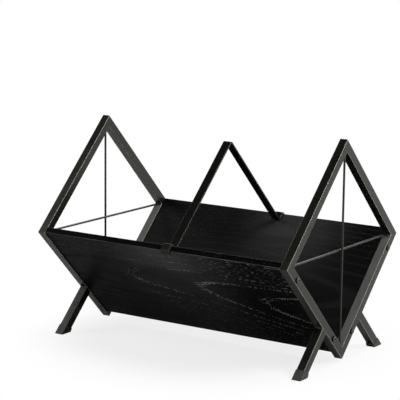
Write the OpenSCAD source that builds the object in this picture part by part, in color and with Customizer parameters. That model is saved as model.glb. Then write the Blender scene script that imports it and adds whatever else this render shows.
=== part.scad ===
// Record storage stand, in millimetres.
// Two square end frames of tube stand on one corner each. Two boards are bolted between
// them and form a trough with a right angle at its bottom. A bent flat bar hooks over
// both boards, slides along them and divides the trough.
// X runs along the trough, -Y is the front, +Z is up. The origin is on the floor under
// the middle of the stand.
//
// Each lower side of an end frame has its own directions, used for all that sits on it:
// y is the depth measured inward from the outer face of the tube, and z is the distance
// along the tube from the lowest corner of the frame.

/* [Stand] */
// Length over both end frames
stand_length = 402; // [300:1:600]
// Side of each square end frame, over the tube
frame_side = 210; // [190:1:320]
// Height of the lowest corner of the frames above the floor
corner_height = 4.2; // [2:0.1:25]

/* [Tube] */
// Outside width of the square tube
tube = 12; // [10.5:0.5:14]
// Wall thickness of the tube
tube_wall = 1.2; // [0.8:0.1:1.7]
// Radius of the long outer edges of the tube
tube_round = 0.8; // [0.5:0.1:3]

/* [Legs and feet] */
// Distance from the lowest corner of the frame to the middle of a leg
leg_place = 70; // [50:1:110]
// Length of a foot cap along the upper side of its leg
foot_length = 16.5; // [14.5:0.5:24]
// Length of a foot cap along the lower side of its leg
heel_length = 7; // [4:0.5:14]
// Wall thickness of a foot cap round its leg
foot_wall = 0.4; // [0.3:0.1:1.5]
// How far the lower side of a foot cap spreads towards the floor
heel_spread = 1.6; // [0:0.1:3]
// Least thickness of a foot cap under the end of its leg
sole_thickness = 1.5; // [0.8:0.1:3]
// Radius of the toe of a foot cap
toe_radius = 0.5; // [0.3:0.1:2]
// Length of the plug that holds a foot cap in its leg
plug_length = 14; // [9:0.5:20]
// Width of the core of the plug
plug_core = 6.5; // [4:0.5:8]
// Thickness of each fin of the plug
fin_thickness = 1.2; // [0.8:0.1:2]
// Number of fins on the plug
fin_count = 3; // [2:1:4]
// Clearance between a foot cap and its leg, outside and inside
foot_clearance = 0.05; // [0.02:0.01:0.1]

/* [Boards] */
// Thickness of a board
board_thickness = 9; // [7:0.5:12]
// Gap between the lower edge of one board and the inner face of the other
board_seam = 0.5; // [0.3:0.1:3]
// Radius of the long edges of a board
board_round = 0.8; // [0.3:0.1:1.5]

/* [Bolts] */
// Distance from the lower and upper edge of a board to its bolts
bolt_inset = 30; // [15:1:70]
// Thread diameter of a bolt
bolt_d = 4; // [3:0.5:5]
// Length of a bolt under its head
bolt_length = 25; // [20:1:45]
// Diameter of the domed head of a bolt
head_d = 9; // [7:0.1:9.5]
// Height of a bolt head
head_height = 2.7; // [2:0.1:3.2]
// Height of the straight edge of a bolt head
head_edge = 0.4; // [0.1:0.1:0.6]
// Width of the hexagon socket across its flats
socket_width = 3; // [2:0.5:3.5]
// Depth of the hexagon socket
socket_depth = 1.3; // [0.8:0.1:1.5]
// Clearance round a bolt in the two walls of the tube
bolt_clearance = 0.15; // [0.05:0.05:0.4]
// Wall thickness of a threaded insert
insert_wall = 0.75; // [0.6:0.05:1.2]
// Length of a threaded insert
insert_length = 10; // [6:0.5:12]
// Width of each of the two grooves round an insert
groove_width = 1.2; // [0.5:0.1:1.5]
// Depth of the grooves round an insert
groove_depth = 0.3; // [0.1:0.1:0.3]
// Clearance round an insert in the board, and round a bolt in an insert
insert_clearance = 0.05; // [0.02:0.01:0.1]
// Free depth in the board past the end of a bolt
bolt_end_gap = 1.5; // [0.5:0.5:5]

/* [Cross rods] */
// Diameter of a cross rod
rod_d = 3; // [2:0.5:4]
// Gap between the two rods where they cross
rod_gap = 0.1; // [0.05:0.05:0.5]

/* [Divider] */
// Place of the middle of the divider along the trough
divider_place = 14; // [-180:1:180]
// Width of the flat bar
divider_width = 12.5; // [8:0.5:30]
// Thickness of the flat bar
divider_thickness = 2; // [1.5:0.1:3]
// Angle between the two long legs at the top
divider_angle = 91.4; // [90:0.2:100]
// Distance from the upper edge of a board down to the upper face of a long leg
divider_drop = 10.5; // [6:0.5:30]
// Gap between the hook and the two faces of the board
hook_side_gap = 0.75; // [0.4:0.05:2]
// Gap between the hook and the upper edge of the board
hook_top_gap = 0.3; // [0.3:0.05:1]
// Height of the outer lip of the hook, over the bar
lip_height = 8; // [5:0.5:15]
// Inner radius of the bends
bend_radius = 1.5; // [1:0.1:1.8]

/* [Hidden] */

// Which copy a module makes
LEFT = -1;
RIGHT = 1;
FRONT = -1;
BACK = 1;

// Facets of a full circle, and of each arc worked out by a formula
$fn = 48;
arc_steps = 8;

// Middle of an end frame, along the trough and in height
frame_x = (stand_length - tube) / 2;
frame_diagonal = frame_side * sqrt(2);
frame_middle = corner_height + frame_diagonal / 2;

// Inside of the tube
bore = tube - 2 * tube_wall;
bore_round = max(tube_round - tube_wall, 0.2);

// Boards, in the directions of a lower side
board_end = stand_length / 2 - tube;
board_outer = (tube - board_thickness) / 2;
board_inner = board_outer + board_thickness;
board_low = board_inner + board_seam;
bolt_places = [board_low + bolt_inset, frame_side - bolt_inset];

// Legs, in the directions of a lower side; the floor cuts them at 45 degrees
leg_upper = leg_place + tube / 2;
leg_lower = leg_place - tube / 2;
leg_end = (sole_thickness - corner_height) * sqrt(2) - leg_lower;

// Bolts and inserts, from the outer face of the tube towards the middle of the stand
head_seat = stand_length / 2;
dome_height = head_height - head_edge;
dome_radius = (head_d * head_d / 4 + dome_height * dome_height) / (2 * dome_height);
dome_angle = asin(head_d / 2 / dome_radius);
insert_bore = bolt_d + 2 * insert_clearance;
insert_d = insert_bore + 2 * insert_wall;

// Divider, as the middle line of its bar in the directions of a lower side
riser_depth = board_inner + hook_side_gap + divider_thickness / 2;
lip_depth = board_outer - hook_side_gap - divider_thickness / 2;
hook_height = frame_side + hook_top_gap + divider_thickness / 2;
lip_end = hook_height + divider_thickness / 2 - lip_height;
leg_tilt = (divider_angle - 90) / 2;
leg_foot = frame_side - divider_drop - divider_thickness / 2 / cos(leg_tilt);
leg_top = (leg_foot + riser_depth * tan(leg_tilt)) / (1 + tan(leg_tilt));

// Point in a plane across the trough, as [y, z], of a depth and a distance on a front side
function side_point(depth, distance) =
    [(depth - distance) / sqrt(2), corner_height + (depth + distance) / sqrt(2)];

function unit(v) = v / norm(v);
function left_of(v) = [-v[1], v[0]];
function reversed(list) = [for (i = [len(list) - 1:-1:0]) list[i]];

// Points of an arc that rounds one corner of an outline
function arc_corner(before, corner, after, radius) =
    let (
        u = unit(before - corner),
        v = unit(after - corner),
        half = acos(u * v) / 2,
        centre = corner + unit(u + v) * radius / sin(half),
        first = corner + u * radius / tan(half) - centre,
        start = atan2(first[1], first[0]),
        sweep = (cross(u, v) < 0 ? 1 : -1) * (180 - 2 * half)
    )
    [for (k = [0:arc_steps])
        let (angle = start + sweep * k / arc_steps)
        centre + radius * [cos(angle), sin(angle)]];

// Corner of a line that runs beside a path, at a distance to its left
function beside(path, i, distance) =
    let (
        into = left_of(unit(path[max(i, 1)] - path[max(i, 1) - 1])),
        away = left_of(unit(path[min(i + 1, len(path) - 1)] - path[min(i, len(path) - 2)])),
        middle = unit(into + away)
    )
    path[i] + middle * distance / (middle * into);

// One long edge of a bent bar: straight stretches joined by arcs
function bar_edge(path, distance, thickness, inner_radius) =
    let (
        last = len(path) - 1,
        line = [for (i = [0:last]) beside(path, i, distance)]
    )
    [for (i = [0:last])
        each i == 0 || i == last ? [line[i]] : arc_corner(line[i - 1], line[i], line[i + 1],
            cross(path[i] - path[i - 1], path[i + 1] - path[i]) * distance > 0
                ? inner_radius : inner_radius + thickness)];

// Outline of a bar of one thickness, bent along a path
function bar_outline(path, thickness, inner_radius) = concat(
    bar_edge(path, thickness / 2, thickness, inner_radius),
    reversed(bar_edge(path, -thickness / 2, thickness, inner_radius)));

// Middle line of the divider, from its front lip over its top to its back lip
divider_front = [
    side_point(lip_depth, lip_end),
    side_point(lip_depth, hook_height),
    side_point(riser_depth, hook_height),
    side_point(riser_depth, leg_foot)
];
divider_path = concat(
    divider_front,
    [side_point(leg_top, leg_top)],
    [for (p = reversed(divider_front)) [-p[0], p[1]]]);

// Rectangle about its middle with round corners
module rounded_rectangle(width, height, radius) {
    square([width - 2 * radius, height], center = true);
    square([width, height - 2 * radius], center = true);
    for (x = [-1, 1], y = [-1, 1])
        translate([x * (width / 2 - radius), y * (height / 2 - radius)])
            circle(r = radius);
}

// Section of the hollow tube
module tube_section() {
    difference() {
        rounded_rectangle(tube, tube, tube_round);
        rounded_rectangle(bore, bore, bore_round);
    }
}

// Outline in a plane across the trough, extruded along it
module along_trough(from, to) {
    translate([from, 0, 0])
        rotate([90, 0, 90])
            linear_extrude(to - from)
                children();
}

// Puts a piece made for the right end, or for the front, on either end or side
module place(end, face) {
    mirror([end == LEFT ? 1 : 0, 0, 0])
        mirror([0, face == BACK ? 1 : 0, 0])
            children();
}

// Directions of the lower front side: y is the depth, z the distance from the corner
module on_side() {
    translate([0, 0, corner_height])
        rotate([45, 0, 0])
            children();
}

// Cylinder along the trough in the middle of the tube, at a distance from the corner
module along_bolt(distance, from, to, diameter) {
    translate([from, tube / 2, distance])
        rotate([0, 90, 0])
            cylinder(d = diameter, h = to - from);
}

// One side of an end frame, cut to a mitre at both ends
module mitred_tube() {
    intersection() {
        translate([frame_x, tube / 2, 0])
            linear_extrude(frame_side)
                tube_section();
        along_trough(board_end, stand_length / 2)
            polygon([
                [0, 0],
                [tube, tube],
                [tube, frame_side - tube],
                [0, frame_side]
            ]);
    }
}

module lower_tube(end, face) {
    color("#26262a")
        place(end, face)
            on_side()
                difference() {
                    mitred_tube();
                    for (distance = bolt_places)
                        along_bolt(distance, 0, stand_length, bolt_d + 2 * bolt_clearance);
                }
}

module upper_tube(end, face) {
    color("#2a2a2e")
        place(end, face)
            translate([0, 0, 2 * frame_middle])
                mirror([0, 0, 1])
                    on_side()
                        mitred_tube();
}

// Leg, square to the lower tube, with its upper end against the outer face of that tube
module leg(end, face) {
    color("#2f2f33")
        place(end, face)
            at_leg_end()
                linear_extrude(-leg_end)
                    tube_section();
}

// Depth at which a line along the leg, at a distance from the corner, meets the floor
function floor_depth(distance) = -distance - corner_height * sqrt(2);

// Foot cap: a wedge round the end of the leg that stands flat on the floor, and a plug
module foot(end, face) {
    upper = leg_upper + foot_wall;
    lower = leg_lower - foot_wall;
    heel = side_point(floor_depth(lower - heel_spread), lower - heel_spread);
    toe = side_point(floor_depth(upper), upper);
    rim_lower = side_point(floor_depth(lower) + heel_length, lower);
    rim_upper = side_point(floor_depth(upper) + foot_length, upper);
    half_width = tube / 2 + foot_wall;
    pocket = tube + 2 * foot_clearance;
    color("#4a4a4c")
        place(end, face) {
            difference() {
                along_trough(frame_x - half_width, frame_x + half_width)
                    polygon(concat(
                        [rim_upper, rim_lower, heel],
                        arc_corner(heel, toe, rim_upper, toe_radius)));
                at_leg_end()
                    linear_extrude(-leg_end)
                        rounded_rectangle(pocket, pocket, tube_round);
            }
            at_leg_end()
                plug();
        }
}

// End of the leg: z runs up the leg from the middle of its end
module at_leg_end() {
    on_side()
        translate([frame_x, leg_end, leg_place])
            rotate([-90, 0, 0])
                children();
}

// Core and fins that fill the bore of the leg
module plug() {
    fin_step = (plug_length - fin_thickness) / fin_count;
    fin_width = bore - 2 * foot_clearance;
    linear_extrude(plug_length)
        square(plug_core, center = true);
    for (i = [1:fin_count])
        translate([0, 0, i * fin_step])
            linear_extrude(fin_thickness)
                rounded_rectangle(fin_width, fin_width, bore_round);
}

// Space inside an end frame, where its rods are trimmed to fit the corners
module frame_inside() {
    on_side()
        translate([board_end, tube, tube])
            cube([tube, frame_side - 2 * tube, frame_side - 2 * tube]);
}

// Rod from the lowest to the highest inner corner, in the outer half of the frame
module vertical_rod(end) {
    color("#303034")
        place(end, FRONT)
            intersection() {
                translate([frame_x + (rod_d + rod_gap) / 2, 0, corner_height])
                    cylinder(d = rod_d, h = frame_diagonal);
                frame_inside();
            }
}

// Rod from the front to the back inner corner, in the inner half of the frame
module horizontal_rod(end) {
    color("#303034")
        place(end, FRONT)
            intersection() {
                translate([frame_x - (rod_d + rod_gap) / 2, frame_diagonal / 2, frame_middle])
                    rotate([90, 0, 0])
                        cylinder(d = rod_d, h = frame_diagonal);
                frame_inside();
            }
}

module panel(face) {
    color("#1d1c1c")
        place(RIGHT, face)
            on_side()
                difference() {
                    translate([0, (board_outer + board_inner) / 2, (board_low + frame_side) / 2])
                        rotate([90, 0, 90])
                            linear_extrude(2 * board_end, center = true)
                                rounded_rectangle(board_thickness, frame_side - board_low, board_round);
                    for (end = [LEFT, RIGHT], distance = bolt_places)
                        mirror([end == LEFT ? 1 : 0, 0, 0])
                            insert_hole(distance);
                }
}

// Hole in the end of a board: wide for the insert, then narrow for the end of the bolt
module insert_hole(distance) {
    hole_end = head_seat - bolt_length - bolt_end_gap;
    along_bolt(distance, board_end - insert_length, stand_length / 2, insert_d + 2 * insert_clearance);
    along_bolt(distance, hole_end, board_end, insert_bore);
}

module bolts(end) {
    color("#8a8a8c")
        for (face = [FRONT, BACK], distance = bolt_places)
            place(end, face)
                on_side()
                    translate([head_seat, tube / 2, distance])
                        rotate([0, 90, 0])
                            bolt();
}

// Point of the dome's outline, at an angle from its axis
function dome_point(angle) =
    [dome_radius * sin(angle), head_height - dome_radius * (1 - cos(angle))];

// Bolt with its domed head on the plane z = 0 and its thread below it
module bolt() {
    difference() {
        union() {
            rotate_extrude()
                polygon(concat(
                    [[0, 0], [head_d / 2, 0]],
                    [for (k = [arc_steps:-1:0]) dome_point(dome_angle * k / arc_steps)]));
            translate([0, 0, -bolt_length])
                cylinder(d = bolt_d, h = bolt_length);
        }
        translate([0, 0, head_height - socket_depth])
            cylinder(d = socket_width / cos(30), h = head_height, $fn = 6);
    }
}

module inserts(end) {
    color("#b08d4a")
        for (face = [FRONT, BACK], distance = bolt_places)
            place(end, face)
                on_side()
                    insert(distance);
}

// Threaded insert, flush with the end of the board
module insert(distance) {
    groove_step = insert_length / 3;
    difference() {
        along_bolt(distance, board_end - insert_length, board_end, insert_d);
        along_bolt(distance, 0, stand_length, insert_bore);
        for (i = [1, 2])
            difference() {
                along_bolt(distance, board_end - i * groove_step - groove_width / 2,
                    board_end - i * groove_step + groove_width / 2, insert_d + groove_depth);
                along_bolt(distance, 0, stand_length, insert_d - 2 * groove_depth);
            }
    }
}

// Flat bar bent to a right angle over the trough, with a hook over each board
module divider() {
    color("#17171a")
        along_trough(divider_place - divider_width / 2, divider_place + divider_width / 2)
            polygon(bar_outline(divider_path, divider_thickness, bend_radius));
}

lower_tube(LEFT, FRONT);  // left_lower_front_tube
lower_tube(LEFT, BACK);  // left_lower_back_tube
upper_tube(LEFT, FRONT);  // left_upper_front_tube
upper_tube(LEFT, BACK);  // left_upper_back_tube
lower_tube(RIGHT, FRONT);  // right_lower_front_tube
lower_tube(RIGHT, BACK);  // right_lower_back_tube
upper_tube(RIGHT, FRONT);  // right_upper_front_tube
upper_tube(RIGHT, BACK);  // right_upper_back_tube
leg(LEFT, FRONT);  // left_front_leg
leg(LEFT, BACK);  // left_back_leg
leg(RIGHT, FRONT);  // right_front_leg
leg(RIGHT, BACK);  // right_back_leg
foot(LEFT, FRONT);  // left_front_foot
foot(LEFT, BACK);  // left_back_foot
foot(RIGHT, FRONT);  // right_front_foot
foot(RIGHT, BACK);  // right_back_foot
vertical_rod(LEFT);  // left_vertical_rod
horizontal_rod(LEFT);  // left_horizontal_rod
vertical_rod(RIGHT);  // right_vertical_rod
horizontal_rod(RIGHT);  // right_horizontal_rod
panel(FRONT);  // front_panel
panel(BACK);  // back_panel
bolts(LEFT);  // left_bolts
bolts(RIGHT);  // right_bolts
inserts(LEFT);  // left_inserts
inserts(RIGHT);  // right_inserts
divider();
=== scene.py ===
"""Record storage stand: finishes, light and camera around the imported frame, in metres."""

import math
import random

import bmesh
import bpy
from mathutils import Matrix, Vector


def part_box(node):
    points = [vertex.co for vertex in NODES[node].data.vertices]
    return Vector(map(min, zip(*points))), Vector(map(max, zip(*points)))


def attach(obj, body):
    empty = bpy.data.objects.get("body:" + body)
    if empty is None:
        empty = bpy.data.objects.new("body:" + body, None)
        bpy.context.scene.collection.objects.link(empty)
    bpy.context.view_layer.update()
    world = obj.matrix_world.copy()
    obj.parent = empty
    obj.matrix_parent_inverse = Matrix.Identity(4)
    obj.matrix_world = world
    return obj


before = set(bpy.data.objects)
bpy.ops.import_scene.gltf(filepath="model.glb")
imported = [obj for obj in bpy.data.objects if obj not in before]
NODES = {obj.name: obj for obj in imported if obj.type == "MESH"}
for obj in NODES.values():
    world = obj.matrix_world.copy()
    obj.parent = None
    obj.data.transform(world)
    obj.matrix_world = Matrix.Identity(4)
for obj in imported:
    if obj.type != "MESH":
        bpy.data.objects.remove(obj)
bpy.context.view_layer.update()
MM = 0.001
SLOPE = math.sqrt(0.5)          # tubes and boards all lie at 45 degrees
FRONT, BACK = -1, 1             # side of the trough on which a board or a tube stands
OUTER, INNER = -1, 1            # broad face of a board

# Sizes of the stand, from the frame
tube_low, tube_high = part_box("right_lower_front_tube")
rod_low, rod_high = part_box("right_vertical_rod")
leg_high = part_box("right_front_leg")[1]
CORNER_HEIGHT = tube_low[2]                        # lowest corner of the tubes above the floor
SIDE_MIDDLE = (tube_low[0] + tube_high[0]) / 2     # side frame's middle from that of the stand
ROD_RADIUS = (rod_high[0] - rod_low[0]) / 2
# Where a leg's two faces meet the lower tube, along that tube from its lowest corner
LEG_EDGES = (-leg_high[1] / SLOPE, (leg_high[2] - CORNER_HEIGHT) / SLOPE)

# Rounds on the sharp edges of the feet and the divider
FOOT_ROUND, BAR_ROUND = 0.35 * MM, 0.3 * MM
ROUND_SEGMENTS = 3
ROUND_ANGLE = math.radians(35)
JOIN_DISTANCE = 0.002 * MM

# Noises of the finishes: cells per metre, detail and roughness
COAT_GRAIN, COAT_WAVES = (1400.0, 3.0, 0.6), (260.0, 2.0, 0.5)
COAT_CLOUDS, COAT_PATCHES = (18.0, 4.0, 0.6), (40.0, 3.0, 0.6)
# Streaks in the painted light on the inner faces of the lower back tubes
PAINTED_LIGHT_STREAKS = (55.0, 4.0, 0.6)
PLATE_MARKS, PLATE_PATCHES = (2200.0, 3.0, 0.6), (420.0, 3.0, 0.6)
PLASTIC_SKIN, PLASTIC_SCUFFS = (2600.0, 2.0, 0.6), (160.0, 5.0, 0.65)
BRASS_MARKS = (3000.0, 2.0, 0.5)
# Those of the ash are drawn out along the board, and start with the share of the cells that way
RING_DRIFTS, RING_SWAYS = (0.22, 14.0, 2.0, 0.5), (0.5, 110.0, 2.0, 0.5)
WOOD_PATCHES, WOOD_FIBRES = (0.22, 55.0, 2.0, 0.5), (0.03, 2200.0, 2.0, 0.6)
WOOD_DOTS, WOOD_DASHES = (0.50, 850.0, 0.0, 0.5), (0.20, 800.0, 0.0, 0.5)
WOOD_FINE_PORES = (0.12, 1900.0, 1.0, 0.5)

# Powder coat: linear colours of the flats and of rubbed edges, whose lighter colour is also a
# painted highlight, and how wide an edge rubs
COAT_DARK, COAT_LIGHT = (0.0042, 0.0043, 0.0032), (0.0084, 0.0086, 0.0064)
BAR_DARK, BAR_LIGHT = (0.0021, 0.0020, 0.0018), (0.0042, 0.0041, 0.0037)
# edges and tube corners: lighter as wear and as a painted highlight along them
COAT_WORN_AND_HIGHLIGHT = (0.280, 0.284, 0.262)
# painted light: a lighter colour on the faces of the lower back tubes that look up and forward
COAT_PAINTED_LIGHT = (0.110, 0.112, 0.104)     # inner faces of the lower back tubes
COAT_TINT = (0.98, 1.0, 0.82, 1.0)      # of the coat's reflections, a little olive
COAT_EDGE = 0.9 * MM
# Strength of the reflections on tubes, on thin pieces and on the divider, and the roughness
TUBE_GLOSS, THIN_GLOSS, BAR_GLOSS = 0.31, 0.40, 0.22
COAT_ROUGHNESS, BAR_ROUGHNESS = 0.29, 0.26
# How far clouds and grain change the roughness, and how much smoother a rubbed edge is
CLOUD_ROUGHNESS, GRAIN_ROUGHNESS, WORN_SMOOTHNESS = 0.05, 0.03, 0.05
GRAIN_SHARE, CLOUD_SHARE = 0.45, 0.55      # in the shade of the colour
PEEL_DEPTH, GRAIN_DEPTH = 0.022 * MM, 0.008 * MM

# Plating of the bolts: linear colours of the head's flank, painted nearly black as shade, of its
# crown and of its rubbed rims, and how far the flank and the crown face along X
PLATE_FLANK_SHADE = (0.0015, 0.0015, 0.0014)
PLATE_CROWN, PLATE_WORN = (0.125, 0.126, 0.115), (0.10, 0.10, 0.092)
FLANK_FACING, CROWN_FACING = 0.71, 0.87
PLATE_EDGE = 0.25 * MM
PLATE_DEPTH = 0.006 * MM

# Moulded plastic of the feet and turned brass of the inserts: linear colours and relief
PLASTIC_DARK, PLASTIC_LIGHT = (0.026, 0.0262, 0.023), (0.040, 0.0405, 0.036)
PLASTIC_IOR = 1.46
PLASTIC_DEPTH = 0.02 * MM
BRASS_DARK, BRASS_LIGHT = (0.50, 0.36, 0.14), (0.62, 0.47, 0.22)
BRASS_DEPTH = 0.008 * MM

# Stained ash: linear colours of the stain, of its pores and of rubbed edges, whose lighter
# colour is also a painted highlight, and relief
WOOD_DARK, WOOD_LIGHT = (0.0014, 0.0014, 0.0015), (0.0034, 0.0034, 0.0034)
WOOD_PORE, WOOD_WORN_AND_HIGHLIGHT = (0.0010, 0.0010, 0.0010), (0.165, 0.165, 0.162)
# Painted sheen: a lighter stain that stands in for a reflection on one face of each board
WOOD_PAINTED_SHEEN = (0.064, 0.064, 0.065)
# Roughness, and how far fibres change it and pores and early wood add to it
WOOD_ROUGHNESS = 0.36
FIBRE_ROUGHNESS, PORE_ROUGHNESS, EARLY_ROUGHNESS = 0.05, 0.20, 0.25
FIBRE_SHARE, PATCH_SHARE, EARLY_SHARE = 0.30, 0.35, 0.35      # in the shade of the colour
FIBRE_RISE, EARLY_DIP = 0.4, 0.25                             # shares of the fibre's relief
FIBRE_DEPTH, PORE_DEPTH = 0.04 * MM, 0.10 * MM

# Places on a board are measured along it from the middle of the stand, the way its arches open,
# up it from the lowest corner of the trough, and through it from the tubes' outer faces.
# Growth rings: cylinders about a pith line behind the face, which comes nearer and sinks along
# the board. They drift slowly and sway quickly
RING_WIDTH = 5.75 * MM
RING_DRIFT, RING_SWAY = 5 * MM, 2.2 * MM
PITH_SLANT, PITH_CURVE = 0.0519, 0.0534      # the curve is per metre
PITH_DROP = 24 * MM
DROP_START, DROP_END = -10 * MM, 200 * MM
# Shares of a ring over which its early wood comes in and goes out
EARLY_IN, EARLY_OUT = (0.0, 0.05), (0.12, 0.30)
# Pores: filled with stain where the arches close low down, open beyond that, and a little more
# crowded further along the board
FILLED, OPEN = -50 * MM, 60 * MM                # sum of the places along and up the board
CROWD_START, CROWD_END = -50 * MM, 150 * MM     # along the board
CROWD_LEAST, CROWD_MOST = 0.27, 0.30
# Upper corner, towards which the arches open, where the rows of dashes lie twice as close
CLOSE_START, CLOSE_END = 10 * MM, 80 * MM     # along the board
CLOSE_LOW, CLOSE_HIGH = 145 * MM, 165 * MM    # up the board
ROW_END, ROW_FULL = 0.50, 0.15                # shares of the way from row to row
ROW_LEVEL = 0.80
# Light dashes, the pores' lighter colour and partly painted glints: fainter behind a line that
# slants across the arches, low on the board, in that corner and off the broad faces
FADE_SLANT = -1.5
FADE_START, FADE_END = -130 * MM, 10 * MM
FAINT_LOW, FAINT_HIGH = 40 * MM, 110 * MM
FADE_LEVEL, FAINT_LEVEL, CLOSE_LEVEL, SIDE_LEVEL = 0.28, 0.5, 0.65, 0.12
# Noise values between which a light dash and a dark pore come in
FLECK_IN, PORE_IN = (0.80, 0.86), (0.62, 0.74)
# Even share of the painted sheen: where it ends along the board, and where it grows to the full
SHEEN_START, SHEEN_END = 30 * MM, 120 * MM
SHEEN_RISE, SHEEN_FULL = -190 * MM, -50 * MM

# For each board: the side it stands on, which way along X its arches open, its pith line's
# places up and through it, an offset of its rings, how light its dashes (partly painted glints)
# are and its gloss. Its painted sheen, a lighter stain that stands in for a reflection, lies on
# one face: strongest at a centre along the board and gone at a reach from there, growing between
# a low and a high place up it, with an even share and a level
BOARDS = {
    "front_panel": {
        "facing": FRONT, "runs": 1, "pith": (137.6 * MM, 112.9 * MM), "offset": 0.05,
        "fleck_and_glint_level": 0.23, "gloss": 0.020,
        "painted_sheen": {"face": OUTER, "centre": -5 * MM, "reach": 145 * MM,
                 "low": 100 * MM, "high": 190 * MM, "even": 0.42, "level": 1.0},
    },
    "back_panel": {
        "facing": BACK, "runs": -1, "pith": (91.6 * MM, 121 * MM), "offset": 0.55,
        "fleck_and_glint_level": 0.020, "gloss": 0.13,
        "painted_sheen": {"face": INNER, "centre": -50 * MM, "reach": 120 * MM,
                 "low": 60 * MM, "high": 180 * MM, "even": 0.0, "level": 0.60},
    },
}

# Camera, fitted to the photograph: a long lens, a little above the stand
CAMERA_AZIMUTH = math.radians(33.87)
CAMERA_ELEVATION = math.radians(10.32)
CAMERA_ROLL = math.radians(0.62)
CAMERA_DISTANCE = 2.1662
CAMERA_TARGET = Vector((0.0290, -0.0894, 0.2147))
CAMERA_LENS_MM = 146.7
SENSOR_MM = 36.0
CLIP_START, CLIP_END = 0.05, 200.0

# Light: soft lamps at a plain level, each given by its direction from the stand, its size and
# the brightness of a white surface that faces it
LAMP_DISTANCE = 3.0
LAMP_AIM = Vector((0.0, 0.0, 0.12))
LAMPS = {                # azimuth from +X, elevation, width, height, level
    "key": (75, 40, 1.5, 1.1, 0.48),
    "side": (8, 46, 1.3, 1.3, 0.86),
    "far_side": (205, 31, 1.3, 1.1, 0.40),
}
# World: a white backdrop up to a low height, dark above; it gives little light of its own
WHITE = (1.0, 1.0, 1.0, 1.0)
BACKDROP_TOP, BACKDROP_END = 0.26, 0.50      # sines of the elevation
WORLD_ZENITH = 0.05
WORLD_LIGHT = 0.06
FLOOR_COLOUR = (0.76, 0.76, 0.76, 1.0)
FLOOR_SIZE = 60.0
# How far from the middle the floor turns from lit to plain white, as seen and as reflected,
# and how much of it near the stand is seen as plain white
GLOW_NEAR, GLOW_FAR = 0.15, 0.30
MIRROR_NEAR, MIRROR_FAR = 0.45, 1.6
FLOOR_GLOW = 0.80


# ---------------------------------------------------------------- shader nodes

def shader_graph(name):
    """An empty node material, and a function that adds a node with its values and links."""
    material = bpy.data.materials.new(name)
    material.use_nodes = True
    tree = material.node_tree
    tree.nodes.clear()
    return material, adder(tree)


def adder(tree):
    def add(kind, inputs=None, **settings):
        node = tree.nodes.new("ShaderNode" + kind)
        for key, value in settings.items():
            setattr(node, key, value)
        for socket, value in (inputs or {}).items():
            if isinstance(value, bpy.types.NodeSocket):
                tree.links.new(value, node.inputs[socket])
            else:
                node.inputs[socket].default_value = value
        return node
    return add


def noise(add, vector, scale, detail, roughness):
    """Noise value at a scale in cells per metre."""
    inputs = {"Vector": vector, "Scale": scale, "Detail": detail, "Roughness": roughness}
    return add("TexNoise", inputs).outputs["Fac"]


def remap(add, value, low, high, to_low=0.0, to_high=1.0, smooth=False):
    """Value moved from one range to another and kept within it."""
    inputs = {"Value": value, "From Min": low, "From Max": high,
              "To Min": to_low, "To Max": to_high}
    kind = "SMOOTHSTEP" if smooth else "LINEAR"
    return add("MapRange", inputs, interpolation_type=kind).outputs["Result"]


def spread(add, value, to_low=0.0, to_high=1.0):
    """Noise, most of which lies between 0.3 and 0.7, moved to another range."""
    return remap(add, value, 0.3, 0.7, to_low, to_high)


def maths(add, operation, *values):
    return add("Math", dict(enumerate(values)), operation=operation).outputs["Value"]


def in_turn(add, operation, values):
    """An operation on the first two values, then on its result and the next value."""
    result = values[0]
    for value in values[1:]:
        result = maths(add, operation, result, value)
    return result


def plus(add, *values):
    return in_turn(add, "ADD", values)


def times(add, *values):
    return in_turn(add, "MULTIPLY", values)


def minus(add, value, taken):
    return maths(add, "SUBTRACT", value, taken)


def larger(add, first, second):
    return maths(add, "MAXIMUM", first, second)


def size_of(add, value):
    return maths(add, "ABSOLUTE", value)


def between(add, factor, first, second):
    """Value between two values."""
    return add("Mix", {"Factor": factor, "A": first, "B": second}).outputs["Result"]


def blend(add, factor, first, second):
    """Colour between two colours, each a socket or three linear values."""
    def filled(colour):
        return colour if isinstance(colour, bpy.types.NodeSocket) else (*colour, 1.0)
    inputs = {"Factor": factor, "A": filled(first), "B": filled(second)}
    return add("Mix", inputs, data_type="RGBA").outputs["Result"]


def bump(add, height, depth, normal=None, strength=1.0):
    """Normal of a surface whose height of 1 stands for a depth in metres."""
    inputs = {"Height": height, "Distance": depth, "Strength": strength}
    if normal is not None:
        inputs["Normal"] = normal
    return add("Bump", inputs).outputs["Normal"]


def facing_axes(add):
    """X, Y and Z of the direction that a surface faces."""
    return add("SeparateXYZ", {0: add("TexCoord").outputs["Normal"]}).outputs


def finish_material(add, colour, roughness, normal, **constants):
    """The principled shader of a finish and its output."""
    inputs = {"Base Color": colour, "Roughness": roughness, "Normal": normal}
    inputs.update({key.replace("_", " "): value for key, value in constants.items()})
    shader = add("BsdfPrincipled", inputs)
    add("OutputMaterial", {"Surface": shader.outputs["BSDF"]})


# ---------------------------------------------------------------- powder coat

def sharp_edge_mask(add, width):
    """1 on edges that are sharper than a width in metres, 0 on flats."""
    rounded = add("Bevel", {"Radius": width}, samples=4).outputs["Normal"]
    flat = add("NewGeometry").outputs["Normal"]
    across = add("VectorMath", {0: rounded, 1: flat}, operation="DOT_PRODUCT").outputs["Value"]
    return remap(add, across, 0.995, 0.90)


def rounded_corner_mask(add):
    """1 on the rounded long corners of a square tube, 0 on its four flat faces."""
    axes = facing_axes(add)
    rising = size_of(add, plus(add, axes["Y"], axes["Z"]))
    falling = size_of(add, minus(add, axes["Y"], axes["Z"]))
    sloped = times(add, larger(add, rising, falling), SLOPE)
    flattest = larger(add, size_of(add, axes["X"]), sloped)
    return remap(add, flattest, 0.99, 0.90)


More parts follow.
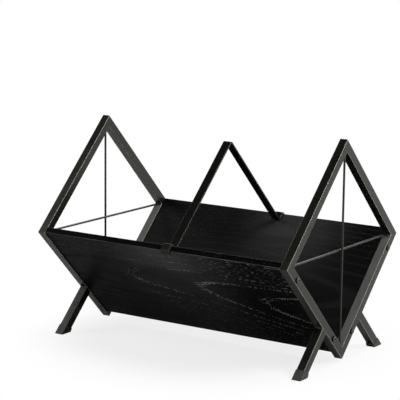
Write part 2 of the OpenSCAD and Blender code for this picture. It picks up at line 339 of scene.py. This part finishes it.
def painted_light_face(add, place):
    """Painted light: 1 on the faces that look up and forward, with a few darker patches, 0
    elsewhere.
    """
    axes = facing_axes(add)
    facing = times(add, minus(add, axes["Z"], axes["Y"]), SLOPE)
    streaks = remap(add, noise(add, place, *PAINTED_LIGHT_STREAKS), 0.3, 0.6, 0.80, 1.0)
    return times(add, remap(add, facing, 0.90, 0.98), streaks)


def powder_coat(name, dark, light, roughness, gloss, edge_mark_level=1.0, corners=False, inner_painted_light=False):
    """Black powder coat: fine orange peel, uneven gloss and dust, and edges (or the rounded
    corners of a tube) rubbed smoother and lighter, the lighter colour partly wear and partly a
    painted highlight, as far as the level of edge marks says; on request painted light on the
    inner face, which looks up and forward, as well."""
    material, add = shader_graph(name)
    place = add("TexCoord").outputs["Object"]
    grain = noise(add, place, *COAT_GRAIN)
    waves = noise(add, place, *COAT_WAVES)
    clouds = noise(add, place, *COAT_CLOUDS)
    shade = plus(add, times(add, grain, GRAIN_SHARE), times(add, clouds, CLOUD_SHARE))
    colour = blend(add, spread(add, shade), dark, light)
    # painted light on the inner face, which looks up and forward
    if inner_painted_light:
        colour = blend(add, painted_light_face(add, place), colour, COAT_PAINTED_LIGHT)
    # edges, or a tube's rounded corners, rubbed smoother and painted lighter: wear and a painted
    # highlight
    edge_mark = rounded_corner_mask(add) if corners else sharp_edge_mask(add, COAT_EDGE)
    patchy = remap(add, noise(add, place, *COAT_PATCHES), 0.3, 0.65, 0.75 * edge_mark_level, edge_mark_level)
    edge_mark = times(add, edge_mark, patchy)
    colour = blend(add, edge_mark, colour, COAT_WORN_AND_HIGHLIGHT)
    rough = spread(add, clouds, roughness - CLOUD_ROUGHNESS, roughness + CLOUD_ROUGHNESS)
    rough = plus(add, rough, spread(add, grain, -GRAIN_ROUGHNESS, GRAIN_ROUGHNESS))
    rough = minus(add, rough, times(add, edge_mark, WORN_SMOOTHNESS))
    skin = minus(add, 1.0, edge_mark)
    coarse = bump(add, waves, PEEL_DEPTH, strength=skin)
    fine = bump(add, grain, GRAIN_DEPTH, coarse, skin)
    finish_material(add, colour, rough, fine, Specular_IOR_Level=gloss,
                    Specular_Tint=COAT_TINT)
    return material


# ---------------------------------------------------------------- stained ash

def board_places(add, facing, runs):
    """Places along a board, up it and through it."""
    axes = add("SeparateXYZ", {0: add("TexCoord").outputs["Object"]}).outputs
    along = times(add, axes["X"], float(runs))
    rise = minus(add, axes["Z"], CORNER_HEIGHT)
    out = times(add, axes["Y"], float(facing))
    up = times(add, plus(add, rise, out), SLOPE)
    deep = times(add, minus(add, rise, out), SLOPE)
    return along, up, deep


def grain_noise(add, places, share, *texture):
    """Noise drawn out along the board, where it has only a share of its cells per metre."""
    along, up, deep = places
    inputs = {"X": times(add, along, share), "Y": up, "Z": deep}
    return noise(add, add("CombineXYZ", inputs).outputs["Vector"], *texture)


def growth_rings(add, places, pith, offset):
    """Place within a growth ring, from 0 to 1, by the distance from the pith line."""
    along, up, deep = places
    drift = times(add, grain_noise(add, places, *RING_DRIFTS), RING_DRIFT)
    sway = times(add, grain_noise(add, places, *RING_SWAYS), RING_SWAY)
    drop = remap(add, along, DROP_START, DROP_END, 0.0, PITH_DROP, smooth=True)
    middle = minus(add, pith[0], drop)
    aside = minus(add, plus(add, up, plus(add, drift, sway)), middle)
    nearer = times(add, along, maths(add, "MULTIPLY_ADD", along, PITH_CURVE, PITH_SLANT))
    below = minus(add, minus(add, pith[1], nearer), deep)
    radius = maths(add, "SQRT", plus(add, times(add, aside, aside), times(add, below, below)))
    return maths(add, "FRACT", maths(add, "MULTIPLY_ADD", radius, 1.0 / RING_WIDTH, offset))


def pore_crowding(add, along, up, ring, early, patchy, corner):
    """How closely the pores lie: in rows along the early wood of each ring, and in rows twice
    as close in the upper corner."""
    rows = maths(add, "FRACT", times(add, ring, 2.0))
    rows = remap(add, rows, ROW_END, ROW_FULL, 0.0, ROW_LEVEL, smooth=True)
    amount = larger(add, early, times(add, rows, corner))
    amount = times(add, amount, remap(add, patchy, 0.34, 0.60, 0.45, 1.0))
    unfilled = remap(add, plus(add, along, up), FILLED, OPEN, 0.15, 1.0, smooth=True)
    crowding = remap(add, along, CROWD_START, CROWD_END, CROWD_LEAST, CROWD_MOST)
    return times(add, amount, unfilled, crowding)


def light_dashes_and_glints(add, places, crowd, corner, broad, pith):
    """The light dashes of crowded pores, lighter in colour and partly painted glints, 1 where
    they are lightest.
    """
    along, up = places[:2]
    dots = grain_noise(add, places, *WOOD_DOTS)
    dashes = grain_noise(add, places, *WOOD_DASHES)
    marks = between(add, corner, dots, dashes)
    fleck = remap(add, plus(add, marks, crowd), *FLECK_IN, smooth=True)
    ahead = maths(add, "MULTIPLY_ADD", minus(add, up, pith[0]), FADE_SLANT, along)
    return times(
        add, fleck,
        remap(add, broad, 0.75, 0.98, SIDE_LEVEL, 1.0),
        remap(add, ahead, FADE_START, FADE_END, FADE_LEVEL, 1.0),
        remap(add, up, FAINT_LOW, FAINT_HIGH, FAINT_LEVEL, 1.0),
        remap(add, corner, 0.0, 1.0, 1.0, CLOSE_LEVEL),
    )


def painted_sheen_cloud(add, along, up, patchy, lean, face, centre, reach, low, high, even, level):
    """Strength of the painted sheen, a lighter stain that stands in for a reflection, on one
    face.
    """
    away = size_of(add, minus(add, along, centre))
    sheen = times(add, remap(add, away, reach, 0.0, smooth=True),
                  remap(add, up, low, high, smooth=True))
    share = times(add, remap(add, along, SHEEN_END, SHEEN_START, 0.0, even, smooth=True),
                  remap(add, along, SHEEN_RISE, SHEEN_FULL, 0.15, 1.0))
    return times(
        add, larger(add, sheen, share),
        spread(add, patchy, 0.6 * level, level),
        remap(add, lean, 0.75 * face, 0.98 * face),
    )


def stained_ash(name, facing, runs, pith, offset, fleck_and_glint_level, gloss, painted_sheen):
    """Black-stained open-pore ash, flat sawn: its growth rings cut the face in nested arches.
    Pores crowd into the early wood of each ring as rows of short dashes; the late wood between
    is smooth and darker."""
    material, add = shader_graph(name)
    places = board_places(add, facing, runs)
    along, up = places[:2]
    # 1 on the inner face of the board, -1 on the outer, and 0 on its edges and ends
    turned = facing_axes(add)
    lean = maths(add, "MULTIPLY_ADD", turned["Y"], -float(facing), turned["Z"])
    lean = times(add, lean, SLOPE)
    broad = size_of(add, lean)
    patchy = grain_noise(add, places, *WOOD_PATCHES)
    ring = growth_rings(add, places, pith, offset)
    early = times(add, remap(add, ring, *EARLY_IN, smooth=True),
                  remap(add, ring, *EARLY_OUT, 1.0, 0.0, smooth=True))
    corner = times(add, remap(add, along, CLOSE_START, CLOSE_END, smooth=True),
                   remap(add, up, CLOSE_LOW, CLOSE_HIGH, smooth=True))
    crowd = pore_crowding(add, along, up, ring, early, patchy, corner)
    fleck = light_dashes_and_glints(add, places, crowd, corner, broad, pith)
    pore = plus(add, grain_noise(add, places, *WOOD_FINE_PORES), crowd)
    pore = remap(add, pore, *PORE_IN, smooth=True)
    fibre = grain_noise(add, places, *WOOD_FIBRES)
    # the stain lies darker in the late wood and in the pores
    shade = plus(add, times(add, fibre, FIBRE_SHARE), times(add, patchy, PATCH_SHARE),
                 times(add, early, EARLY_SHARE))
    colour = blend(add, remap(add, shade, 0.25, 0.85), WOOD_DARK, WOOD_LIGHT)
    colour = blend(add, pore, colour, WOOD_PORE)
    # painted sheen: lighter stain standing in for a reflection on one face
    sheen = painted_sheen_cloud(add, along, up, patchy, lean, **painted_sheen)
    colour = blend(add, sheen, colour, WOOD_PAINTED_SHEEN)
    # light dashes: the pores' lighter colour, and partly painted glints
    colour = blend(add, fleck, colour, (fleck_and_glint_level, fleck_and_glint_level, fleck_and_glint_level * 0.98))
    # rubbed along the rounded long edges, and a painted highlight along them
    rubbed_and_highlit = times(add, remap(add, broad, 0.99, 0.85), remap(add, broad, 0.3, 0.6),
                   remap(add, patchy, 0.35, 0.6, 0.4, 1.0))
    colour = blend(add, rubbed_and_highlit, colour, WOOD_WORN_AND_HIGHLIGHT)
    rough = spread(add, fibre, WOOD_ROUGHNESS - FIBRE_ROUGHNESS, WOOD_ROUGHNESS + FIBRE_ROUGHNESS)
    rough = plus(add, rough, times(add, pore, PORE_ROUGHNESS), times(add, early, EARLY_ROUGHNESS))
    ridges = minus(add, times(add, fibre, FIBRE_RISE), times(add, early, EARLY_DIP))
    relief = bump(add, ridges, FIBRE_DEPTH)
    relief = bump(add, minus(add, fleck, pore), PORE_DEPTH, relief)
    finish_material(add, colour, rough, relief, Specular_IOR_Level=gloss)
    return material


# ---------------------------------------------------------------- plastic, plating and brass

def moulded_plastic(name):
    """Dark grey moulded plastic with a fine spark-eroded skin and dusty scuffs."""
    material, add = shader_graph(name)
    place = add("TexCoord").outputs["Object"]
    skin = noise(add, place, *PLASTIC_SKIN)
    scuffs = noise(add, place, *PLASTIC_SCUFFS)
    colour = blend(add, remap(add, scuffs, 0.35, 0.7), PLASTIC_DARK, PLASTIC_LIGHT)
    rough = spread(add, scuffs, 0.52, 0.68)
    finish_material(add, colour, rough, bump(add, skin, PLASTIC_DEPTH), IOR=PLASTIC_IOR)
    return material


def plated_steel(name):
    """Black plating with fine turned marks: dull and painted nearly black as shade on the flank
    of the head, rubbed lighter on its crown and round the rim of the socket."""
    material, add = shader_graph(name)
    place = add("TexCoord").outputs["Object"]
    marks = noise(add, place, *PLATE_MARKS)
    patches = noise(add, place, *PLATE_PATCHES)
    edge_mark = times(add, sharp_edge_mask(add, PLATE_EDGE), remap(add, patches, 0.3, 0.6, 0.4, 1.0))
    turned = size_of(add, facing_axes(add)["X"])
    crown = times(add, remap(add, turned, FLANK_FACING, CROWN_FACING, smooth=True),
                  spread(add, patches, 0.7, 1.0))
    # the flank painted nearly black as shade, the crown in the plating's lighter colour
    colour = blend(add, crown, PLATE_FLANK_SHADE, PLATE_CROWN)
    colour = blend(add, edge_mark, colour, PLATE_WORN)
    rough = plus(add, spread(add, marks, 0.20, 0.28), remap(add, crown, 0.0, 1.0, 0.15, 0.0))
    finish_material(add, colour, rough, bump(add, marks, PLATE_DEPTH), Metallic=1.0)
    return material


def turned_brass(name):
    """Plain turned brass."""
    material, add = shader_graph(name)
    place = add("TexCoord").outputs["Object"]
    marks = noise(add, place, *BRASS_MARKS)
    colour = blend(add, marks, BRASS_DARK, BRASS_LIGHT)
    rough = spread(add, marks, 0.25, 0.4)
    finish_material(add, colour, rough, bump(add, marks, BRASS_DEPTH), Metallic=1.0)
    return material


# ---------------------------------------------------------------- the stand

def dress(node, material):
    """Gives a CAD node its finish."""
    NODES[node].data.materials.clear()
    NODES[node].data.materials.append(material)


def soften_edges(node, width):
    """Small real rounds on the sharp edges of a CAD node."""
    piece = NODES[node]
    weld = piece.modifiers.new("weld", "WELD")
    weld.merge_threshold = JOIN_DISTANCE
    bevel = piece.modifiers.new("round", "BEVEL")
    bevel.width = width
    bevel.segments = ROUND_SEGMENTS
    bevel.limit_method = "ANGLE"
    bevel.angle_limit = ROUND_ANGLE
    bevel.harden_normals = False


coat = (COAT_DARK, COAT_LIGHT, COAT_ROUGHNESS)
bar = (BAR_DARK, BAR_LIGHT, BAR_ROUGHNESS)
tube_coat = powder_coat("tube_powder_coat", *coat, TUBE_GLOSS, corners=True)
# the lower back tubes carry painted light on their inner faces
back_coat = powder_coat("back_tube_powder_coat", *coat, TUBE_GLOSS, corners=True, inner_painted_light=True)
weld_coat = powder_coat("frame_powder_coat", *coat, THIN_GLOSS)
rod_coat = powder_coat("rod_powder_coat", *coat, THIN_GLOSS, edge_mark_level=0.0)
bar_coat = powder_coat("divider_powder_coat", *bar, BAR_GLOSS, edge_mark_level=0.5)
plastic = moulded_plastic("foot_plastic")
plating = plated_steel("bolt_plating")
brass = turned_brass("insert_brass")

for name in NODES:
    if name.endswith("_lower_back_tube"):
        dress(name, back_coat)
    elif name.endswith(("_tube", "_leg")):
        dress(name, tube_coat)
    elif name.endswith("_rod"):
        dress(name, rod_coat)
    elif name.endswith("_foot"):
        dress(name, plastic)
        soften_edges(name, FOOT_ROUND)
    elif name.endswith("_bolts"):
        dress(name, plating)
    elif name.endswith("_inserts"):
        dress(name, brass)
    elif name.endswith("_panel"):
        dress(name, stained_ash(name + "_ash", **BOARDS[name]))
    else:
        dress(name, bar_coat)
        soften_edges(name, BAR_ROUND)


# ---------------------------------------------------------------- welds

BEAD_SIZE = 1.3 * MM
BEAD_HALF_LENGTH = 5.3 * MM
BEAD_ROOT = 0.5 * MM                  # how far it reaches into the corner that it fills
BEAD_RINGS, BEAD_ARC = 23, 7          # rings along it, and points across each
BEAD_BULGE, BEAD_DENT = 0.72, 0.28    # shares of its size
BEAD_END = 0.25                       # share of its size that is left at its ends
# Ripple of the bead: its height, its turn from ring to ring, and its random part
RIPPLE, RIPPLE_TURN, RIPPLE_CHANCE = 0.07, 2.1, 0.03
COLLAR_RADIUS = 2.7 * MM
COLLAR_HEIGHT = 2.4 * MM
COLLAR_RINGS, COLLAR_SIDES = 7, 20
COLLAR_LUMPS = (0.93, 1.07)
COLLAR_TUCK = 0.97                    # share of the rod's radius at its upper end
COLLAR_SWEEP = 1.8
WELD_SEEDS = {"left": 12, "right": 11}


def on_tube(x, up, deep, facing):
    """Point beside a lower tube: how far up along it, and how deep in from its outer face."""
    return Vector((x, facing * (up - deep) * SLOPE, CORNER_HEIGHT + (up + deep) * SLOPE))


def grow_bead(mesh, middle, edge, outward, facing, rng):
    """Rippled fillet across a leg's corner with the tube, slightly domed, with closed ends."""
    loops = []
    for ring in range(BEAD_RINGS):
        along = 2.0 * ring / (BEAD_RINGS - 1) - 1.0
        taper = math.sqrt(max(0.0, 1.0 - abs(along) ** 6)) * (1.0 - BEAD_END) + BEAD_END
        ripple = 1.0 + RIPPLE * math.sin(ring * RIPPLE_TURN)
        ripple = ripple + rng.uniform(-RIPPLE_CHANCE, RIPPLE_CHANCE)
        size = BEAD_SIZE * taper * ripple
        x = middle + along * BEAD_HALF_LENGTH
        points = [on_tube(x, edge - outward * BEAD_ROOT, BEAD_ROOT, facing)]
        for step in range(BEAD_ARC):
            angle = math.pi / 2 * step / (BEAD_ARC - 1)
            reach_up = size * (1.0 - BEAD_BULGE * (1.0 - math.cos(angle)))
            reach_out = size * (1.0 - BEAD_BULGE * (1.0 - math.sin(angle)))
            reach_up = reach_up - size * BEAD_DENT * math.sin(angle) ** 3
            reach_out = reach_out - size * BEAD_DENT * math.cos(angle) ** 3
            points.append(on_tube(x, edge + outward * reach_up, -reach_out, facing))
        loops.append([mesh.verts.new(point) for point in points])
    bridge(mesh, loops)


def grow_collar(mesh, foot, axis, rng):
    """Small round weld at a rod's end, narrowing up the rod from the corner of the tubes."""
    across = axis.orthogonal().normalized()
    beside = axis.cross(across)
    lumps = [rng.uniform(*COLLAR_LUMPS) for side in range(COLLAR_SIDES)]
    loops = []
    for ring in range(COLLAR_RINGS):
        rise = ring / (COLLAR_RINGS - 1)
        flare = (COLLAR_RADIUS - ROD_RADIUS) * (1.0 - rise) ** COLLAR_SWEEP
        radius = ROD_RADIUS * COLLAR_TUCK + flare
        points = []
        for side in range(COLLAR_SIDES):
            turn = 2 * math.pi * side / COLLAR_SIDES
            reach = radius * (1.0 + (lumps[side] - 1.0) * (1.0 - rise))
            offset = across * math.cos(turn) * reach + beside * math.sin(turn) * reach
            points.append(foot + axis * (COLLAR_HEIGHT * rise) + offset)
        loops.append([mesh.verts.new(point) for point in points])
    bridge(mesh, loops)


def bridge(mesh, loops):
    """Closed skin over a row of rings."""
    count = len(loops[0])
    for first, second in zip(loops, loops[1:]):
        for side in range(count):
            after = (side + 1) % count
            mesh.faces.new((first[side], first[after], second[after], second[side]))
    mesh.faces.new(loops[0])
    mesh.faces.new(loops[-1])


def weld_frame(side, sign):
    """All welds of one side frame, as one piece: leg beads and rod collars."""
    rng = random.Random(WELD_SEEDS[side])
    mesh = bmesh.new()
    for facing in (FRONT, BACK):
        for edge, outward in zip(LEG_EDGES, (-1, 1)):
            grow_bead(mesh, sign * SIDE_MIDDLE, edge, outward, facing, rng)
    for rod, index in (("vertical", 2), ("horizontal", 1)):
        low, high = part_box(f"{side}_{rod}_rod")
        middle = [(a + b) / 2 for a, b in zip(low, high)]
        for end, direction in ((low[index], 1.0), (high[index], -1.0)):
            foot, axis = Vector(middle), Vector((0.0, 0.0, 0.0))
            foot[index], axis[index] = end, direction
            grow_collar(mesh, foot, axis, rng)
    bmesh.ops.recalc_face_normals(mesh, faces=mesh.faces)
    data = bpy.data.meshes.new(f"{side}_welds")
    mesh.to_mesh(data)
    mesh.free()
    data.shade_smooth()
    data.materials.append(weld_coat)
    piece = bpy.data.objects.new(f"{side}_welds", data)
    bpy.context.scene.collection.objects.link(piece)
    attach(piece, "frame")


weld_frame("left", -1)
weld_frame("right", 1)


# ---------------------------------------------------------------- stage, light and camera

def seen_directly(add):
    """1 for what the camera, a reflection or clear glass shows, 0 for what only lights."""
    path = add("LightPath").outputs
    seen = larger(add, path["Is Camera Ray"], path["Is Glossy Ray"])
    return larger(add, seen, path["Is Transmission Ray"])


def make_floor():
    """Pale floor: diffuse where the stand's shadow falls, plain white further out."""
    half = FLOOR_SIZE / 2
    mesh = bpy.data.meshes.new("floor")
    corners = [(-half, -half, 0), (half, -half, 0), (half, half, 0), (-half, half, 0)]
    mesh.from_pydata(corners, [], [(0, 1, 2, 3)])
    floor = bpy.data.objects.new("floor", mesh)
    bpy.context.scene.collection.objects.link(floor)
    material, add = shader_graph("floor")
    seen = seen_directly(add)
    mirrored = add("LightPath").outputs["Is Glossy Ray"]
    spot = add("TexCoord").outputs["Object"]
    away = add("VectorMath", {0: spot}, operation="LENGTH").outputs["Value"]
    viewed = remap(add, away, GLOW_NEAR, GLOW_FAR, FLOOR_GLOW, 1.0, smooth=True)
    reflected = remap(add, away, MIRROR_NEAR, MIRROR_FAR, smooth=True)
    glow = between(add, mirrored, viewed, reflected)
    plain = add("BsdfDiffuse", {"Color": FLOOR_COLOUR})
    white = add("Emission", {"Color": WHITE, "Strength": 1.0})
    mixed = add("MixShader", {0: times(add, seen, glow),
                              1: plain.outputs["BSDF"], 2: white.outputs["Emission"]})
    add("OutputMaterial", {"Surface": mixed.outputs["Shader"]})
    mesh.materials.append(material)


def make_world():
    """White backdrop that the camera and reflections see, over a dim even light."""
    world = bpy.data.worlds.new("studio")
    bpy.context.scene.world = world
    world.use_nodes = True
    world.node_tree.nodes.clear()
    add = adder(world.node_tree)
    seen = seen_directly(add)
    height = add("SeparateXYZ", {0: add("TexCoord").outputs["Generated"]}).outputs["Z"]
    backdrop = remap(add, height, BACKDROP_TOP, BACKDROP_END, 1.0, WORLD_ZENITH, smooth=True)
    level = between(add, seen, WORLD_LIGHT, backdrop)
    background = add("Background", {"Color": WHITE, "Strength": level})
    add("OutputWorld", {"Surface": background.outputs["Background"]})


def make_lamps():
    """Rectangular soft lamps, all facing the stand."""
    for name, (azimuth, elevation, width, height, level) in LAMPS.items():
        azimuth, elevation = math.radians(azimuth), math.radians(elevation)
        direction = Vector((
            math.cos(azimuth) * math.cos(elevation),
            math.sin(azimuth) * math.cos(elevation),
            math.sin(elevation),
        ))
        data = bpy.data.lights.new(name, "AREA")
        data.shape = "RECTANGLE"
        data.size, data.size_y = width, height
        data.energy = level * (math.pi * LAMP_DISTANCE) ** 2
        lamp = bpy.data.objects.new(name, data)
        lamp.location = LAMP_AIM + direction * LAMP_DISTANCE
        lamp.rotation_euler = direction.to_track_quat("Z", "Y").to_euler()
        bpy.context.scene.collection.objects.link(lamp)


def make_camera():
    """The camera, placed by its direction from its target and rolled about its own axis."""
    azimuth, elevation, roll = CAMERA_AZIMUTH, CAMERA_ELEVATION, CAMERA_ROLL
    back = Vector((
        math.sin(azimuth) * math.cos(elevation),
        -math.cos(azimuth) * math.cos(elevation),
        math.sin(elevation),
    ))
    level = (-back).cross(Vector((0, 0, 1))).normalized()
    upright = level.cross(-back)
    right = level * math.cos(roll) + upright * math.sin(roll)
    up = upright * math.cos(roll) - level * math.sin(roll)
    data = bpy.data.cameras.new("camera")
    data.sensor_width = SENSOR_MM
    data.lens = CAMERA_LENS_MM
    data.clip_start, data.clip_end = CLIP_START, CLIP_END
    camera = bpy.data.objects.new("camera", data)
    bpy.context.scene.collection.objects.link(camera)
    turned = Matrix((right, up, back)).transposed().to_4x4()
    camera.matrix_world = Matrix.Translation(CAMERA_TARGET + back * CAMERA_DISTANCE) @ turned
    bpy.context.scene.camera = camera


make_floor()
make_world()
make_lamps()
make_camera()
bpy.context.scene.view_settings.view_transform = "Standard"
